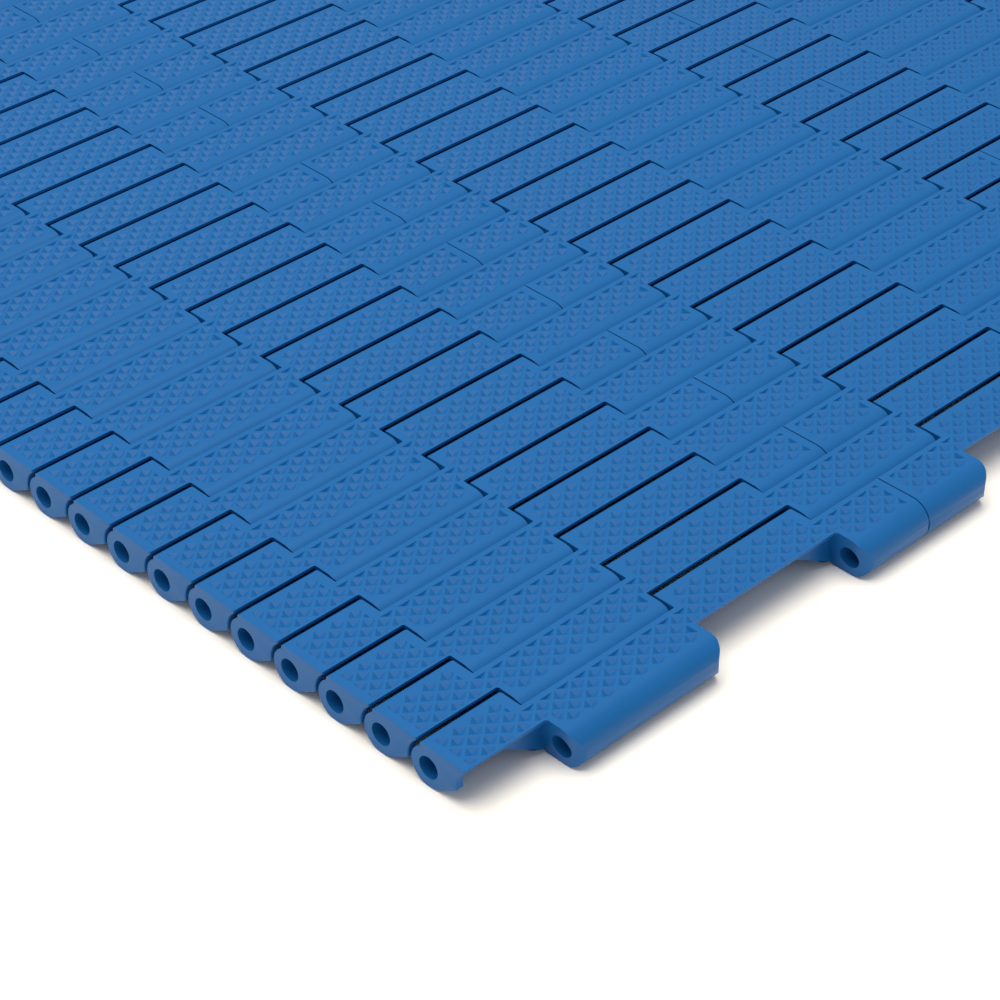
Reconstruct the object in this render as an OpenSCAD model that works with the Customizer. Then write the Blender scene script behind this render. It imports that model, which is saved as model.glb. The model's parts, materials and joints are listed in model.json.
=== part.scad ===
// Modular plastic belt: rows of moulded links, hinged to one another on loose pins.
// X runs across the belt, Y along its travel and Z up. The origin is on the surface that
// the belt lies on, at the middle of its width and of its length.

/* [Belt] */
// Distance from one hinge axis to the next
pitch = 8; // [7.5:0.25:10]
// Number of rows in this length of belt
row_count = 25; // [3:1:25]
// Width of one knuckle zone, the step at which front and back knuckles take turns
zone_w = 25.6; // [20:0.8:40]
// Number of knuckle zones across the belt, an even number
zone_count = 8; // [8:2:12]
// Thickness from the underside of the knuckles to the top of the deck
belt_t = 6; // [5.6:0.1:6.4]

/* [Modules] */
// Zone at whose middle the two modules of a first-pattern row meet
first_seam_zone = 3; // [3:2:5]
// Zone at whose middle the two modules of a second-pattern row meet
second_seam_zone = 6; // [4:2:6]
// Row at which a second made-up length is spliced on, where the brick pattern starts again
splice_row = 17; // [3:2:23]
// Gap between two modules of one row
seam_gap = 0.2; // [0.1:0.05:0.4]
// Rounding of a knuckle's corners at a seam and at the belt's edges, seen from above
seam_r = 0.2; // [0.1:0.05:0.4]
// Side gap between a front knuckle and the back knuckle beside it
knuckle_gap = 0.4; // [0.3:0.1:0.8]

/* [Knuckles] */
// Diameter of the round knuckles
knuckle_d = 5.7; // [5.4:0.1:6]
// Running gap between a knuckle and the hollow of the next row that it turns in
relief_gap = 0.6; // [0.5:0.1:0.8]
// Rounding at the left front corner of a front knuckle, seen from above
left_corner_r = 2; // [0.8:0.1:2.4]
// Rounding at the right front corner of a front knuckle, seen from above
right_corner_r = 1.8; // [0.8:0.1:2.4]
// Length of the flat underside of a front knuckle, from its axis backwards
sole_l = 2.8; // [2:0.1:3.2]
// Slope of a front knuckle's underside behind its flat sole
heel_slope = 44; // [38:1:50]

/* [Deck] */
// Deck's front edge in the back knuckle zones, measured back from the front hinge axis
deck_front = 2.1; // [1.8:0.1:2.3]
// Deck's back edge over a back knuckle, measured back from the back hinge axis
deck_back = 1.5; // [1.2:0.1:1.6]
// Deck's back edge behind a front knuckle, measured forward from the back hinge axis
deck_setback = 2.2; // [2.1:0.1:2.8]
// Rounding along the deck's back edge over a back knuckle
deck_edge_r = 0.5; // [0.3:0.1:0.6]
// Rounding at the left corner of that edge, seen from above
left_tail_r = 0.3; // [0.2:0.1:0.6]
// Rounding at the right corner of that edge, seen from above
right_tail_r = 0.7; // [0.3:0.1:1]
// Thickness of the deck over the drive pockets
deck_t = 0.95; // [0.8:0.05:1.2]

/* [Underside] */
// Slope of a cheek's underside, from the knuckle up to the toe
cheek_slope = 29; // [25:1:33]
// Thickness of the cheek that closes the profile at a module's free end
cheek_t = 1.1; // [0.8:0.1:1.6]
// Rounding of a cheek's toe
toe_r = 0.6; // [0.4:0.1:0.8]
// Length of the ramp that braces a front knuckle against the deck
ramp_l = 7; // [5:0.25:8]
// Height left open under the ramp where it meets the front knuckle
ramp_lift = 0.8; // [0.4:0.1:1.4]

/* [Hinge] */
// Diameter of the hinge pin
pin_d = 3; // [2.8:0.1:3.2]
// Radial clearance of the pin in the knuckles
pin_fit = 0.05; // [0.03:0.01:0.08]
// Distance of the pin's left end from the belt's left edge, where it is pushed in
pin_recess = 3; // [2:0.1:4]
// Chamfer at the pin's ends
pin_chamfer = 0.3; // [0.2:0.05:0.5]
// Length of the swollen left end by which the pin grips the outermost knuckle
grip_l = 4; // [3:0.5:6]
// Radial press of the swollen end in its bore
grip_press = 0.01; // [0.005:0.005:0.03]
// Diameter of the hole left in the lip that stops the pin at the belt's right edge
lip_hole_d = 2; // [1.5:0.1:2.4]
// Length of the lip
lip_l = 2; // [1.5:0.1:2.4]
// End play of the pin at the lip
pin_play = 0.3; // [0.1:0.1:0.5]

/* [Hidden] */
$fn = 64;
belt_w = zone_w * zone_count;
knuckle_r = knuckle_d / 2;
top_z = belt_t - knuckle_r;
nose_r = belt_t / 2;
nose_z = top_z - nose_r;
relief_r = knuckle_r + relief_gap;
bore_r = pin_d / 2 + pin_fit;
lip_r = lip_hole_d / 2;
deck_under = top_z - deck_t;
heel_z = -knuckle_r + (pitch - sole_l - deck_setback) * tan(heel_slope);
ramp_foot = -knuckle_r + ramp_lift;
// The toe's circle touches the cheek's underside and the hollow round the front hinge
cheek_down = [-sin(cheek_slope), -cos(cheek_slope)];
cheek_ahead = [-cos(cheek_slope), sin(cheek_slope)];
toe_gap2 = pow(knuckle_r - toe_r, 2) - 2 * (knuckle_r - toe_r) * pitch * sin(cheek_slope)
    + pow(pitch, 2) - pow(relief_r + toe_r, 2);
toe_run = pitch * cos(cheek_slope) - sqrt(pow(pitch * cos(cheek_slope), 2) - toe_gap2);
toe_at = (knuckle_r - toe_r) * cheek_down + toe_run * cheek_ahead;
toe_tip = toe_at + toe_r * ([-pitch, 0] - toe_at) / (relief_r + toe_r);
front_hinge_y = -row_count * pitch / 2 + (nose_r - knuckle_r) / 2;
over = 1;
row_colour = "#3277c2";
pin_colour = "#2a66a8";

function two_digits(i) = str(i < 10 ? "0" : "", i);
function row_name(i) = str("row_", two_digits(i));
function pin_name(i) = str("hinge_pin_", two_digits(i));
// Y of the hinge axis behind row i; row 1 is the front row
function hinge_y(i) = front_hinge_y + i * pitch;
function is_back_zone(j) = j % 2 == 0;
// The brick pattern takes turns from row to row and starts again at the splice
function is_first_pattern(i) = (i < splice_row ? i : i + 1) % 2 == 1;
function seam_zone(i) = is_first_pattern(i) ? first_seam_zone : second_seam_zone;
function zone_x(j) = (j - zone_count / 2) * zone_w;
// Left and right end of the part of zone j that belongs to the module from zone a to zone b
function left_end(j, a) = j == a ? zone_x(j) + (a == 0 ? 0 : seam_gap / 2)
    : zone_x(j) - zone_w / 2 + knuckle_gap / 2;
function right_end(j, b) = j == b ? zone_x(j) - (b == zone_count ? 0 : seam_gap / 2)
    : zone_x(j) + zone_w / 2 - knuckle_gap / 2;

// Profiles lie in the plane across the hinges: their x is the belt's Y and their y its Z,
// measured from the axis of the row's back hinge.
module along_belt_x(x0, x1) {
    translate([x0, 0, 0]) rotate([90, 0, 90]) linear_extrude(x1 - x0) children();
}

module front_relief() {
    translate([-pitch, 0]) circle(relief_r);
}

module back_relief() {
    circle(relief_r);
}

// Deck over a back knuckle, with its back edge rounded
module deck_tail() {
    translate([-pitch + deck_front, deck_under])
        square([pitch - deck_front + deck_back - deck_edge_r, deck_t]);
    translate([0, 0]) square([deck_back, top_z - deck_edge_r]);
    translate([deck_back - deck_edge_r, top_z - deck_edge_r]) circle(deck_edge_r);
}

// Back knuckle from x0 to x1 with the deck over it, whose back corners are round
module back_knuckle(x0, x1, left_r, right_r) {
    difference() {
        union() {
            along_belt_x(x0, x1) circle(knuckle_r);
            intersection() {
                along_belt_x(x0, x1) deck_tail();
                linear_extrude(belt_t) difference() {
                    translate([x0, -pitch]) square([x1 - x0, pitch + deck_back]);
                    translate([x0, deck_back]) mirror([0, 1]) corner_waste(left_r);
                    translate([x1, deck_back]) rotate(180) corner_waste(right_r);
                }
            }
        }
        along_belt_x(x0 - over, x1 + over) front_relief();
    }
}

module cheek_profile() {
    difference() {
        union() {
            polygon([
                [0, 0],
                knuckle_r * cheek_down,
                toe_at + toe_r * cheek_down,
                toe_at,
                toe_tip,
                [-pitch + deck_front, toe_tip[1]],
                [-pitch + deck_front, top_z],
                [0, top_z]
            ]);
            translate(toe_at) circle(toe_r);
        }
        front_relief();
    }
}

module front_knuckle_profile() {
    difference() {
        union() {
            translate([-pitch, nose_z]) circle(nose_r);
            polygon([
                [-pitch, -knuckle_r],
                [-pitch, top_z],
                [-deck_setback, top_z],
                [-deck_setback, heel_z],
                [-pitch + sole_l, -knuckle_r]
            ]);
        }
        back_relief();
    }
}

// Strip of deck that runs the whole width of a module and ties its knuckles together
module spine_profile() {
    difference() {
        translate([-pitch + deck_front, deck_under])
            square([pitch - deck_front - deck_setback, deck_t]);
        front_relief();
        back_relief();
    }
}

module ramp_profile() {
    difference() {
        translate([-pitch + deck_front, -knuckle_r])
            square([pitch - deck_front, deck_under + knuckle_r]);
        front_relief();
    }
}

// What a round corner of radius r takes off a square one at the origin
module corner_waste(r) {
    difference() {
        translate([-over, -over]) square(r + over);
        translate([r, r]) circle(r);
    }
}

module front_knuckle(x0, x1, left_r, right_r) {
    y0 = -pitch - nose_r;
    intersection() {
        along_belt_x(x0, x1) front_knuckle_profile();
        translate([0, 0, -belt_t]) linear_extrude(2 * belt_t) difference() {
            translate([x0, y0]) square([x1 - x0, pitch + nose_r]);
            translate([x0, y0]) corner_waste(left_r);
            translate([x1, y0]) mirror([1, 0]) corner_waste(right_r);
        }
    }
}

// Sloping brace from the deck down to the left end of a front knuckle at x1
module ramp(x1) {
    intersection() {
        along_belt_x(x1 - ramp_l, x1) ramp_profile();
        translate([0, over, 0]) rotate([90, 0, 0]) linear_extrude(pitch + 2 * over) polygon([
            [x1 - ramp_l, deck_under],
            [x1, deck_under],
            [x1, ramp_foot]
        ]);
    }
}

module back_zone(j, a, b) {
    x0 = left_end(j, a);
    x1 = right_end(j, b);
    back_knuckle(
        x0, x1,
        j == a ? seam_r : left_tail_r, j == b ? seam_r : right_tail_r
    );
    if (j == a) along_belt_x(x0, x0 + cheek_t) cheek_profile();
    if (j == b) along_belt_x(x1 - cheek_t, x1) cheek_profile();
    else {
        ramp(x1);
        along_belt_x(x1, x1 + knuckle_gap) web_profile();
    }
}

// Web that joins a front knuckle to the zone beside it, between the two hollows
module web_profile() {
    difference() {
        translate([-pitch + deck_front, ramp_foot])
            square([pitch - deck_front - deck_setback, top_z - ramp_foot]);
        front_relief();
        back_relief();
    }
}

module front_zone(j, a, b) {
    front_knuckle(
        left_end(j, a), right_end(j, b),
        j == a ? seam_r : left_corner_r, j == b ? seam_r : right_corner_r
    );
}

// Bores of both hinges; at the belt's right edge the back bore narrows to the lip's hole
module bores(a, b) {
    x0 = left_end(a, a) - over;
    x1 = right_end(b, b);
    along_belt_x(x0, b == zone_count ? x1 - lip_l : x1 + over) circle(bore_r);
    along_belt_x(x0, x1 + over) {
        circle(lip_r);
        translate([-pitch, 0]) circle(bore_r);
    }
}

// One moulded module from the middle of zone a to the middle of zone b
module link_module(a, b) {
    difference() {
        union() {
            along_belt_x(left_end(a, a), right_end(b, b)) spine_profile();
            for (j = [a:b]) {
                if (is_back_zone(j)) back_zone(j, a, b);
                else front_zone(j, a, b);
            }
        }
        bores(a, b);
    }
}

module belt_row(i) {
    color(row_colour) translate([0, hinge_y(i), knuckle_r]) {
        link_module(0, seam_zone(i));
        link_module(seam_zone(i), zone_count);
    }
}

module hinge_pin(i) {
    left = -belt_w / 2 + pin_recess;
    right = belt_w / 2 - lip_l - pin_play;
    r = pin_d / 2;
    grip_r = bore_r + grip_press;
    color(pin_colour) translate([0, hinge_y(i), knuckle_r]) rotate([0, 90, 0]) rotate_extrude()
        polygon([
            [0, left],
            [grip_r - pin_chamfer, left],
            [grip_r, left + pin_chamfer],
            [grip_r, left + grip_l],
            [r, left + grip_l + grip_r - r],
            [r, right - pin_chamfer],
            [r - pin_chamfer, right],
            [0, right]
        ]);
}

for (i = [1:row_count]) belt_row(i);
for (i = [1:row_count - 1]) hinge_pin(i);
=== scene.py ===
import json
import math

import bmesh
import bpy
from mathutils import Matrix, Vector

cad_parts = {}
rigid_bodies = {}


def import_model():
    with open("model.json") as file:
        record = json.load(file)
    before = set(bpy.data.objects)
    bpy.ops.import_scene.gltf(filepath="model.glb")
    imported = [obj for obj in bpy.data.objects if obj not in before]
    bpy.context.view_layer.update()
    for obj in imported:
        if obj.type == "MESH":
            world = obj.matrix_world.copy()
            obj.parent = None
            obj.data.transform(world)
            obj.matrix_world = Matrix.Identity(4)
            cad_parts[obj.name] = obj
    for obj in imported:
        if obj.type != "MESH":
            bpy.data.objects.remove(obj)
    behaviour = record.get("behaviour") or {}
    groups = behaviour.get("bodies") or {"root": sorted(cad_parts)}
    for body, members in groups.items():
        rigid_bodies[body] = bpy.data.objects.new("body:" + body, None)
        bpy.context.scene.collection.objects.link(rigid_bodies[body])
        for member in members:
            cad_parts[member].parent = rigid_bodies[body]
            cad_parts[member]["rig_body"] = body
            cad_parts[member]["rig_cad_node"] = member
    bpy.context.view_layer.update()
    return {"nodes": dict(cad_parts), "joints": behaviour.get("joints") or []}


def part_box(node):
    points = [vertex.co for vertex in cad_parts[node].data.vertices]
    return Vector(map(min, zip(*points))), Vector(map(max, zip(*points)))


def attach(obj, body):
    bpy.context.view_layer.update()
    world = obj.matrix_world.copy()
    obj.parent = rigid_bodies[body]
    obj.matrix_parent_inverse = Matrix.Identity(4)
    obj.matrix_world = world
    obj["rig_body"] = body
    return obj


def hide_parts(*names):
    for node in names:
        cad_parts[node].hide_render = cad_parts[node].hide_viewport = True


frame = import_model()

MM = 0.001

# ---------------------------------------------------------------- the belt, in metres
ROWS = sorted(n for n in frame["nodes"] if n.startswith("row_"))
PINS = sorted(n for n in frame["nodes"] if n.startswith("hinge_pin_"))
HINGES = {j["name"]: Vector(j["pos_m"]) for j in frame["joints"]}
FIRST_HINGE = HINGES["hinge_01"]
PITCH = HINGES["hinge_02"].y - FIRST_HINGE.y
AXIS_Z = FIRST_HINGE.z
DECK_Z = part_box(ROWS[0])[1].z
HALF_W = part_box(ROWS[0])[1].x
ZONES = 8
ZONE_W = 2 * HALF_W / ZONES

# Places along Y are counted from the hinge at the front of a row.

# ---------------------------------------------------------------- dimples
# Pits with four flat sides, in lines along X. Every second line is shifted by
# half a step. The tool that cuts them rises a little above the deck.
DIMPLES_PER_ZONE = 9
DIMPLE_STEP_X = ZONE_W / DIMPLES_PER_ZONE
DIMPLE_STEP_Y = 1.176 * MM
DIMPLE_FIRST_X = 0.14 * MM
DIMPLE_FIRST_Y = 0.444 * MM
DIMPLE_LINES = 7
DIMPLE_HALF_X = 1.14 * MM
DIMPLE_HALF_Y = 0.94 * MM
DIMPLE_DEPTH = 0.5 * MM
DIMPLE_RISE = 0.02 * MM

# The dimpled field of a module is a band right across it, which reaches further
# on over the front knuckles and over the deck's tails. Plain borders are left at
# the module's ends and at each side of what reaches out.
BAND_FRONT = 2.45 * MM
BAND_BACK = 5.05 * MM
FIELD_FRONT = -0.2 * MM
FIELD_BACK = 8.6 * MM
END_BORDER = 1.3 * MM
FRONT_BORDER = 1.2 * MM
BACK_BORDER_LEFT = 1.5 * MM
BACK_BORDER_RIGHT = 1.8 * MM

# The field as a block: how far its walls lean for their height, and where it
# ends below and above the deck.
FIELD_WALL_RUN = math.tan(math.radians(30))
FIELD_FLOOR = -1.0 * MM
FIELD_LID = 0.2 * MM

# ---------------------------------------------------------------- roundings and draft
# Sizes asked of the bevel, whose limit for overlaps holds all edges of a kind to
# what the tightest one allows. So less comes out: 0.23 mm at the toes, 0.16 mm at
# the plan corners, 0.36 mm at those by the left ends, and under 0.01 mm, which is
# a sharp edge, along the knuckles' ends and the deck's front and back.
END_ROUNDING = 0.3 * MM
DECK_ROUNDING = 0.15 * MM
TOE_ROUNDING = 0.5 * MM
PLAN_FILLET = 0.3 * MM
LEFT_END_FILLET = 0.7 * MM

# Edges that turn by less than SHARP stay as they are, edges that turn by less
# than SMOOTH are shaded as one surface, and flat faces are merged up to FLAT.
SHARP = math.radians(28)
SMOOTH = math.radians(24)
FLAT = math.radians(0.5)

# Where the edges to round lie. The toe's height is counted from the hinge, and
# edges inside BORE_RIM belong to a bore.
TOE_FRONT = 2.0 * MM
TOE_BACK = 3.76 * MM
TOE_BOTTOM = -0.95 * MM
NOSE_BACK = 1.7 * MM
TAIL_LENGTH = 1.0 * MM
BORE_RIM = 2 * MM

# The draft is full at a front knuckle's left end, fades out to its right, and
# fades out along the ramp behind it.
END_DRAFT = math.tan(math.radians(8))
DRAFT_FULL = 0.3 * MM
DRAFT_FADE = 4 * MM
RAMP_BACK = 5.8 * MM
RAMP_FADE = 1.8 * MM

# ---------------------------------------------------------------- slack for like places
ROUND_OFF = 1e-9
SAME_POINT = 1e-6
SAME_PLACE = 0.02 * MM
SEAM_SLACK = 0.3 * MM
LEFT_END_SLACK = 0.5 * MM

# ---------------------------------------------------------------- finishes
# Clouds are the mottle in colour and polish, and sand is the fine grain.
PLASTIC_IOR = 1.48
PLASTIC_SPECULAR = 0.3
CLOUD_SCALE = 90
CLOUD_DETAIL = 3
CLOUD_POLISH = 0.12
SAND_SCALE = 2600
SAND_DETAIL = 2
SAND_RELIEF = 0.02 * MM

# ---------------------------------------------------------------- floor, light and camera
FLOOR_SIZE = 0.9
FLOOR_Z = -0.02 * MM
FLOOR_PAINT = (0.8, 0.8, 0.8, 1)
# What the camera and glossy rays see of the floor: brighter, so that it is white where
# lit, and warm, which is painted colour that cancels the blue of the light bounced off the
# belt into the floor's shadow.
FLOOR_SEEN = (1.33, 1.24, 1.10, 1)
WHITE = (1, 1, 1, 1)
SOFT_LIGHT = 0.40
WHITE_BACKDROP = 1.0
KEY_PLACE = (-0.15, 0.1, 1.0)
KEY_SIZE = 1.0
KEY_POWER = 9.6
CAMERA_SENSOR = 36
CAMERA_LENS = 102.4
CAMERA_NEAR = 0.01
CAMERA_PLACE = (-0.26682, -0.26974, 0.21968)
CAMERA_TURN = (53.532, -0.327, -44.393)


# ---------------------------------------------------------------- small helpers
def deselect_all():
    if bpy.context.object and bpy.context.object.mode != "OBJECT":
        bpy.ops.object.mode_set(mode="OBJECT")
    bpy.ops.object.select_all(action="DESELECT")


def make_active(piece):
    deselect_all()
    piece.select_set(True)
    bpy.context.view_layer.objects.active = piece


def apply_modifiers(piece):
    make_active(piece)
    for modifier in list(piece.modifiers):
        bpy.ops.object.modifier_apply(modifier=modifier.name)


def boolean(piece, cutter, operation):
    modifier = piece.modifiers.new("cut", "BOOLEAN")
    modifier.operation = operation
    modifier.solver = "MANIFOLD"
    modifier.object = cutter
    apply_modifiers(piece)


def remove(*things):
    for thing in things:
        bpy.data.objects.remove(thing, do_unlink=True)


def near(a, b, slack=SAME_PLACE):
    return abs(a - b) < slack


def span_x(piece):
    xs = [v.co.x for v in piece.data.vertices]
    return min(xs), max(xs)


# ---------------------------------------------------------------- materials
def moulded_skin_group():
    """Faint mottle of moulded plastic and the fine grain that its tool leaves."""
    group = bpy.data.node_groups.new("moulded_skin", "ShaderNodeTree")
    face = group.interface
    face.new_socket(name="Colour", in_out="INPUT", socket_type="NodeSocketColor")
    face.new_socket(name="Mottle", in_out="INPUT", socket_type="NodeSocketFloat")
    face.new_socket(name="Roughness", in_out="INPUT", socket_type="NodeSocketFloat")
    face.new_socket(name="Grain", in_out="INPUT", socket_type="NodeSocketFloat")
    face.new_socket(name="Colour", in_out="OUTPUT", socket_type="NodeSocketColor")
    face.new_socket(name="Roughness", in_out="OUTPUT", socket_type="NodeSocketFloat")
    face.new_socket(name="Normal", in_out="OUTPUT", socket_type="NodeSocketVector")
    nodes, links = group.nodes, group.links
    given = nodes.new("NodeGroupInput")
    result = nodes.new("NodeGroupOutput")
    place = nodes.new("ShaderNodeTexCoord")

    clouds = nodes.new("ShaderNodeTexNoise")
    clouds.inputs["Scale"].default_value = CLOUD_SCALE
    clouds.inputs["Detail"].default_value = CLOUD_DETAIL
    links.new(place.outputs["Object"], clouds.inputs["Vector"])
    centred = nodes.new("ShaderNodeMath")
    centred.operation = "SUBTRACT"
    centred.inputs[1].default_value = 0.5
    links.new(clouds.outputs["Fac"], centred.inputs[0])
    mottle = nodes.new("ShaderNodeMath")
    mottle.operation = "MULTIPLY_ADD"
    mottle.inputs[2].default_value = 1.0
    links.new(centred.outputs[0], mottle.inputs[0])
    links.new(given.outputs["Mottle"], mottle.inputs[1])
    tint = nodes.new("ShaderNodeVectorMath")
    tint.operation = "SCALE"
    links.new(given.outputs["Colour"], tint.inputs[0])
    links.new(mottle.outputs[0], tint.inputs["Scale"])
    links.new(tint.outputs[0], result.inputs["Colour"])

    polish = nodes.new("ShaderNodeMath")
    polish.operation = "MULTIPLY_ADD"
    polish.inputs[1].default_value = CLOUD_POLISH
    links.new(centred.outputs[0], polish.inputs[0])
    links.new(given.outputs["Roughness"], polish.inputs[2])
    links.new(polish.outputs[0], result.inputs["Roughness"])

    sand = nodes.new("ShaderNodeTexNoise")
    sand.inputs["Scale"].default_value = SAND_SCALE
    sand.inputs["Detail"].default_value = SAND_DETAIL
    links.new(place.outputs["Object"], sand.inputs["Vector"])
    relief = nodes.new("ShaderNodeBump")
    relief.inputs["Distance"].default_value = SAND_RELIEF
    links.new(given.outputs["Grain"], relief.inputs["Strength"])
    links.new(sand.outputs["Fac"], relief.inputs["Height"])
    links.new(relief.outputs[0], result.inputs["Normal"])
    return group


SKIN = moulded_skin_group()


def moulded_plastic(name, colour, mottle, roughness, grain):
    material = bpy.data.materials.new(name)
    material.use_nodes = True
    material.diffuse_color = (*colour, 1)
    nodes, links = material.node_tree.nodes, material.node_tree.links
    shader = nodes["Principled BSDF"]
    shader.inputs["IOR"].default_value = PLASTIC_IOR
    shader.inputs["Specular IOR Level"].default_value = PLASTIC_SPECULAR
    skin = nodes.new("ShaderNodeGroup")
    skin.node_tree = SKIN
    skin.inputs["Colour"].default_value = (*colour, 1)
    skin.inputs["Mottle"].default_value = mottle
    skin.inputs["Roughness"].default_value = roughness
    skin.inputs["Grain"].default_value = grain
    links.new(skin.outputs["Colour"], shader.inputs["Base Color"])
    links.new(skin.outputs["Roughness"], shader.inputs["Roughness"])
    links.new(skin.outputs["Normal"], shader.inputs["Normal"])
    return material


LINK_BLUE = moulded_plastic(
    "link_blue", colour=(0.006, 0.137, 0.400), mottle=0.08, roughness=0.43, grain=0.35,
)
PIN_BLUE = moulded_plastic(
    "pin_blue", colour=(0.004, 0.06, 0.2), mottle=0.05, roughness=0.4, grain=0.2,
)


def dress(piece, material):
    piece.data.materials.clear()
    piece.data.materials.append(material)


# ---------------------------------------------------------------- dimpled modules
def row_hinge_y(row):
    """Y of the hinge at the front of a row."""
    return FIRST_HINGE.y + (ROWS.index(row) - 1) * PITCH


def loose_modules(row):
    """The modules of one row, as merged copies of its solids, from left to right.

    The copy gives up its marks as a solid, so that only its original keeps them.
    """
    copy = frame["nodes"][row].copy()
    copy.data = copy.data.copy()
    copy.parent = None
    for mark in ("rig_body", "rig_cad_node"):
        if mark in copy:
            del copy[mark]
    bpy.context.scene.collection.objects.link(copy)
    make_active(copy)
    bpy.ops.object.mode_set(mode="EDIT")
    bpy.ops.mesh.select_all(action="SELECT")
    bpy.ops.mesh.remove_doubles(threshold=SAME_POINT)
    bpy.ops.mesh.dissolve_limited(angle_limit=FLAT)
    bpy.ops.mesh.separate(type="LOOSE")
    bpy.ops.object.mode_set(mode="OBJECT")
    found = list(bpy.context.selected_objects)
    for piece in found:
        make_active(piece)
        bpy.ops.mesh.customdata_custom_splitnormals_clear()
    return sorted(found, key=lambda piece: span_x(piece)[0])


def field_outline(x0, x1, hinge_y, inset):
    """Plan outline of a module's dimpled field, anticlockwise, drawn in by inset.

    Knuckle zones are centred on whole multiples of the zone width. Odd ones have
    their knuckle at the front of the row, and even ones at its back.
    """
    ends = (x0 + END_BORDER + inset, x1 - END_BORDER - inset)
    front, back = [], []
    for zone in range(ZONES + 1):
        middle = (zone - ZONES / 2) * ZONE_W
        left, right = middle - ZONE_W / 2, middle + ZONE_W / 2
        if right < x0 or left > x1:
            continue
        if zone % 2:
            low = max(left + FRONT_BORDER + inset, ends[0])
            high = min(right - FRONT_BORDER - inset, ends[1])
            front.append((low, high, FIELD_FRONT + inset))
        else:
            low = max(left + BACK_BORDER_LEFT + inset, ends[0])
            high = min(right - BACK_BORDER_RIGHT - inset, ends[1])
            back.append((low, high, FIELD_BACK - inset))

    def edge(steps, level):
        """One long side, from left to right, that steps out to each knuckle's reach."""
        points = [(ends[0], level)]
        for low, high, reach in steps:
            if low > points[-1][0] + ROUND_OFF:
                points += [(low, level), (low, reach), (high, reach)]
            else:
                points = points[:-1] + [(low, reach), (high, reach)]
            if high < ends[1] - ROUND_OFF:
                points.append((high, level))
        if points[-1][0] < ends[1] - ROUND_OFF:
            points.append((ends[1], level))
        return points

    outline = edge(front, BAND_FRONT + inset) + edge(back, BAND_BACK - inset)[::-1]
    return [Vector((x, hinge_y + y, 0)) for x, y in outline]


def field_block(x0, x1, hinge_y):
    """The dimpled field as a block whose walls lean outwards from bottom to top."""
    shape = bmesh.new()
    rings = []
    for height in (FIELD_FLOOR, FIELD_LID):
        outline = field_outline(x0, x1, hinge_y, -height * FIELD_WALL_RUN)
        lift = Vector((0, 0, DECK_Z + height))
        rings.append([shape.verts.new(p + lift) for p in outline])
    low, high = rings
    shape.faces.new(low[::-1])
    shape.faces.new(high)
    for i in range(len(low)):
        k = (i + 1) % len(low)
        shape.faces.new((low[i], low[k], high[k], high[i]))
    bmesh.ops.recalc_face_normals(shape, faces=shape.faces)
    mesh = bpy.data.meshes.new("field")
    shape.to_mesh(mesh)
    shape.free()
    field = bpy.data.objects.new("field", mesh)
    bpy.context.scene.collection.objects.link(field)
    return field


def dimple_cutter(x0, x1, hinge_y):
    """Upturned pyramids in staggered lines, trimmed to the module's dimpled field.

    The lines start and end past the module. Each turn of the loop makes every
    second one: first those with the shift of half a step, then those without it.
    """
    grow = 1 + DIMPLE_RISE / DIMPLE_DEPTH
    depth = DIMPLE_DEPTH * grow
    first = math.floor(x0 / DIMPLE_STEP_X) - 1
    count = int((x1 - x0) / DIMPLE_STEP_X) + 3
    deselect_all()
    lines = []
    for shift, start in ((0.5, 0), (0.0, 1)):
        bpy.ops.mesh.primitive_cone_add(
            vertices=4, radius1=0, radius2=1, depth=1, enter_editmode=True,
        )
        bpy.ops.mesh.remove_doubles(threshold=SAME_POINT)
        bpy.ops.transform.resize(value=(DIMPLE_HALF_X * grow, DIMPLE_HALF_Y * grow, depth))
        bpy.ops.transform.translate(value=(
            (first + shift) * DIMPLE_STEP_X + DIMPLE_FIRST_X,
            hinge_y + DIMPLE_FIRST_Y + start * DIMPLE_STEP_Y,
            DECK_Z + DIMPLE_RISE - depth / 2,
        ))
        bpy.ops.object.mode_set(mode="OBJECT")
        line = bpy.context.object
        along = line.modifiers.new("along", "ARRAY")
        along.use_relative_offset = False
        along.use_constant_offset = True
        along.constant_offset_displace = (DIMPLE_STEP_X, 0, 0)
        along.count = count
        across = line.modifiers.new("across", "ARRAY")
        across.use_relative_offset = False
        across.use_constant_offset = True
        across.constant_offset_displace = (0, 2 * DIMPLE_STEP_Y, 0)
        across.count = (DIMPLE_LINES + 1 - start) // 2
        apply_modifiers(line)
        lines.append(line)
    make_active(lines[0])
    lines[1].select_set(True)
    bpy.ops.object.join()
    pits = bpy.context.object
    pits.name = "dimples"

    field = field_block(x0, x1, hinge_y)
    boolean(pits, field, "INTERSECT")
    remove(field)
    return pits


def round_edges(piece, hinge_y, wanted, radius, segments, hollow=False):
    """Bevels the sharp outer edges, or the hollow ones, that wanted(a, b) picks.

    a and b are an edge's ends, counted from the hinge at the front of the row.
    """
    make_active(piece)
    bpy.ops.object.mode_set(mode="EDIT")
    bpy.ops.mesh.select_mode(type="EDGE")
    bpy.ops.mesh.select_all(action="DESELECT")
    shape = bmesh.from_edit_mesh(piece.data)
    base = Vector((0, hinge_y, AXIS_Z))
    for edge in shape.edges:
        if len(edge.link_faces) != 2:
            continue
        angle = edge.calc_face_angle_signed(0) * (-1 if hollow else 1)
        if angle < SHARP:
            continue
        a, b = (v.co - base for v in edge.verts)
        if wanted(a, b):
            edge.select_set(True)
    bmesh.update_edit_mesh(piece.data)
    if any(edge.select for edge in shape.edges):
        bpy.ops.mesh.bevel(
            offset=radius, segments=segments, affect="EDGES",
            clamp_overlap=True, loop_slide=True,
        )
    bpy.ops.object.mode_set(mode="OBJECT")


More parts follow.
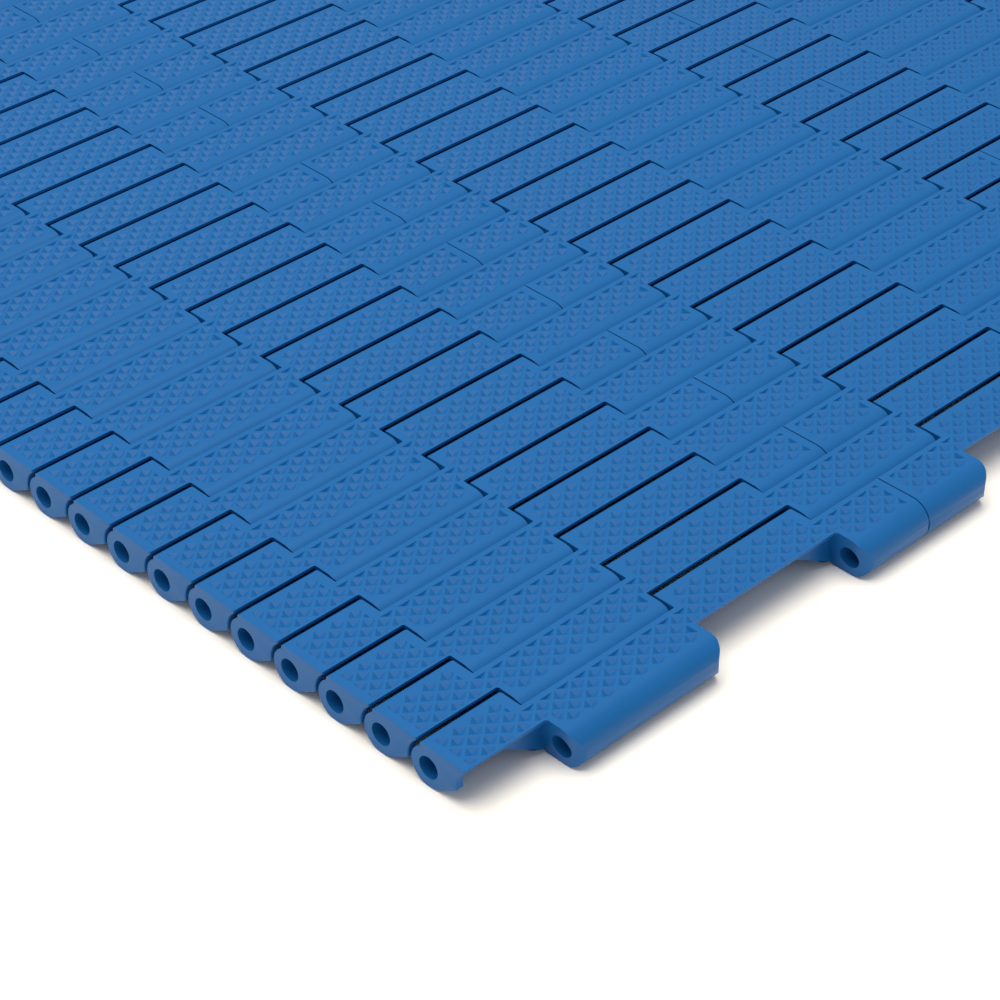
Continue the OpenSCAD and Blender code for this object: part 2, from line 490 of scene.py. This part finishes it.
def left_ends():
    """X of the left border of each zone that has its knuckle at the front."""
    return [(zone - ZONES / 2 - 0.5) * ZONE_W for zone in range(1, ZONES, 2)]


def lean_left_ends(piece, hinge_y):
    """Draft of the front knuckles' left ends: the lower, the further to the right.

    It fades out to the right of each end, and towards the back along its ramp.
    """
    for vertex in piece.data.vertices:
        place = vertex.co - Vector((0, hinge_y, DECK_Z))
        for end in left_ends():
            offset = place.x - end
            if not -LEFT_END_SLACK < offset < DRAFT_FADE:
                continue
            across = min(1, (DRAFT_FADE - offset) / (DRAFT_FADE - DRAFT_FULL))
            along = max(0, min(1, (RAMP_BACK - place.y) / RAMP_FADE))
            vertex.co.x -= place.z * END_DRAFT * across * along


def finish_module(piece, hinge_y):
    """Roundings, draft, dimples and finish of one module of a row."""
    x0, x1 = span_x(piece)
    top = DECK_Z - AXIS_Z

    def plan_corner(a, b):
        """Upright hollow corners at the steps of the deck's front and back edges."""
        upright = near(a.x, b.x) and near(a.y, b.y)
        return upright and max(a.z, b.z) > top - SAME_PLACE

    def left_end_corner(a, b):
        """The plan corners where the deck meets a front knuckle's left end."""
        at_end = any(near(a.x, end, LEFT_END_SLACK) for end in left_ends())
        return plan_corner(a, b) and at_end and a.y < PITCH / 2

    def toe_edge(a, b):
        """Front of the cheek at the belt's own edges, from the deck down to the toe."""
        middle = (a + b) / 2
        at_edge = near(a.x, b.x) and near(abs(a.x), HALF_W)
        at_front = TOE_FRONT < middle.y < TOE_BACK
        return at_edge and at_front and TOE_BOTTOM < middle.z < top - SAME_PLACE

    def end_outline(a, b):
        """Outline of every knuckle's ends, and of the cheeks at the module's own ends."""
        if not near(a.x, b.x):
            return False
        middle = (a + b) / 2
        front_radius = math.hypot(middle.y, middle.z)
        back_radius = math.hypot(middle.y - PITCH, middle.z)
        on_nose = middle.y < NOSE_BACK and front_radius > BORE_RIM
        on_tail = middle.y > PITCH - TAIL_LENGTH and back_radius > BORE_RIM
        return on_nose or on_tail or middle.z > top - SAME_PLACE

    def deck_edge(a, b):
        """Front and back edges of the deck."""
        return near(a.z, top) and near(b.z, top) and not near(a.x, b.x)

    round_edges(piece, hinge_y, left_end_corner, LEFT_END_FILLET, segments=4, hollow=True)
    round_edges(piece, hinge_y, plan_corner, PLAN_FILLET, segments=3, hollow=True)
    round_edges(piece, hinge_y, toe_edge, TOE_ROUNDING, segments=3)
    round_edges(piece, hinge_y, end_outline, END_ROUNDING, segments=3)
    round_edges(piece, hinge_y, deck_edge, DECK_ROUNDING, segments=2)
    lean_left_ends(piece, hinge_y)
    cutter = dimple_cutter(x0, x1, hinge_y)
    boolean(piece, cutter, "DIFFERENCE")
    remove(cutter)
    make_active(piece)
    bpy.ops.object.mode_set(mode="EDIT")
    bpy.ops.mesh.select_all(action="SELECT")
    bpy.ops.mesh.remove_doubles(threshold=SAME_POINT)
    bpy.ops.mesh.dissolve_degenerate(threshold=SAME_POINT)
    bpy.ops.object.mode_set(mode="OBJECT")
    bpy.ops.object.shade_smooth_by_angle(angle=SMOOTH)
    dress(piece, LINK_BLUE)


# The first two rows are finished once, and every row is a copy of one of them.
masters = {}
seams = {}
for row in ROWS[:2]:
    masters[row] = loose_modules(row)
    seams[row] = (span_x(masters[row][0])[1] + span_x(masters[row][1])[0]) / 2
    for piece in masters[row]:
        finish_module(piece, row_hinge_y(row))


def pattern_of(row):
    """The first or the second row, whichever has its seam where this row has it."""
    places = [v.co.x for v in frame["nodes"][row].data.vertices]

    def corners_at_seam(kind):
        return sum(near(x, seams[kind], SEAM_SLACK) for x in places)

    return max(seams, key=corners_at_seam)


for row in ROWS:
    kind = pattern_of(row)
    shift = row_hinge_y(row) - row_hinge_y(kind)
    for side, master in zip(("left", "right"), masters[kind]):
        piece = master.copy()
        piece.data = master.data.copy()
        piece.data.transform(Matrix.Translation((0, shift, 0)))
        piece.name = f"link_{row}_{side}"
        piece.data.name = piece.name
        bpy.context.scene.collection.objects.link(piece)
        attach(piece, row)
        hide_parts(row)
for kind in masters:
    remove(*masters[kind])

for pin in PINS:
    dress(frame["nodes"][pin], PIN_BLUE)
for row in ROWS:
    dress(frame["nodes"][row], LINK_BLUE)


# ---------------------------------------------------------------- the studio
def build_floor():
    """A pale floor, which the camera and glossy surfaces see as white where lit. What they
    see is also tinted warm: painted colour that cancels the blue of the light bounced off
    the belt into the floor's shadow.
    """
    deselect_all()
    bpy.ops.mesh.primitive_plane_add(size=FLOOR_SIZE, location=(0, 0, FLOOR_Z))
    floor = bpy.context.object
    floor.name = "floor"
    material = bpy.data.materials.new("floor_white")
    material.use_nodes = True
    nodes, links = material.node_tree.nodes, material.node_tree.links
    nodes.clear()
    output = nodes.new("ShaderNodeOutputMaterial")
    paint = nodes.new("ShaderNodeBsdfDiffuse")
    paint.inputs["Color"].default_value = FLOOR_PAINT
    bright = nodes.new("ShaderNodeBsdfDiffuse")
    bright.inputs["Color"].default_value = FLOOR_SEEN
    path = nodes.new("ShaderNodeLightPath")
    direct = nodes.new("ShaderNodeMath")
    direct.operation = "MAXIMUM"
    links.new(path.outputs["Is Camera Ray"], direct.inputs[0])
    links.new(path.outputs["Is Glossy Ray"], direct.inputs[1])
    seen = nodes.new("ShaderNodeMixShader")
    links.new(direct.outputs[0], seen.inputs[0])
    links.new(paint.outputs[0], seen.inputs[1])
    links.new(bright.outputs[0], seen.inputs[2])
    links.new(seen.outputs[0], output.inputs["Surface"])
    dress(floor, material)


def build_world():
    """Soft light from all round, with a plain white backdrop."""
    world = bpy.data.worlds.new("studio")
    bpy.context.scene.world = world
    world.use_nodes = True
    nodes, links = world.node_tree.nodes, world.node_tree.links
    nodes.clear()
    output = nodes.new("ShaderNodeOutputWorld")
    soft = nodes.new("ShaderNodeBackground")
    soft.inputs["Color"].default_value = WHITE
    soft.inputs["Strength"].default_value = SOFT_LIGHT
    white = nodes.new("ShaderNodeBackground")
    white.inputs["Color"].default_value = WHITE
    white.inputs["Strength"].default_value = WHITE_BACKDROP
    path = nodes.new("ShaderNodeLightPath")
    direct = nodes.new("ShaderNodeMath")
    direct.operation = "MAXIMUM"
    links.new(path.outputs["Is Camera Ray"], direct.inputs[0])
    links.new(path.outputs["Is Transmission Ray"], direct.inputs[1])
    seen = nodes.new("ShaderNodeMixShader")
    links.new(direct.outputs[0], seen.inputs[0])
    links.new(soft.outputs[0], seen.inputs[1])
    links.new(white.outputs[0], seen.inputs[2])
    links.new(seen.outputs[0], output.inputs["Surface"])


def add_softbox(name, place, size, power):
    """A square lamp that looks at the middle of the belt."""
    lamp = bpy.data.lights.new(name, "AREA")
    lamp.shape = "SQUARE"
    lamp.size = size
    lamp.energy = power
    holder = bpy.data.objects.new(name, lamp)
    holder.location = place
    holder.rotation_euler = (-Vector(place)).to_track_quat("-Z", "Y").to_euler()
    bpy.context.scene.collection.objects.link(holder)


def add_camera():
    camera = bpy.data.cameras.new("camera")
    camera.sensor_width = CAMERA_SENSOR
    camera.lens = CAMERA_LENS
    camera.clip_start = CAMERA_NEAR
    holder = bpy.data.objects.new("camera", camera)
    holder.location = CAMERA_PLACE
    holder.rotation_euler = [math.radians(angle) for angle in CAMERA_TURN]
    bpy.context.scene.collection.objects.link(holder)
    bpy.context.scene.camera = holder


build_floor()
build_world()
add_softbox("key", KEY_PLACE, KEY_SIZE, KEY_POWER)
add_camera()
bpy.context.scene.view_settings.view_transform = "Standard"
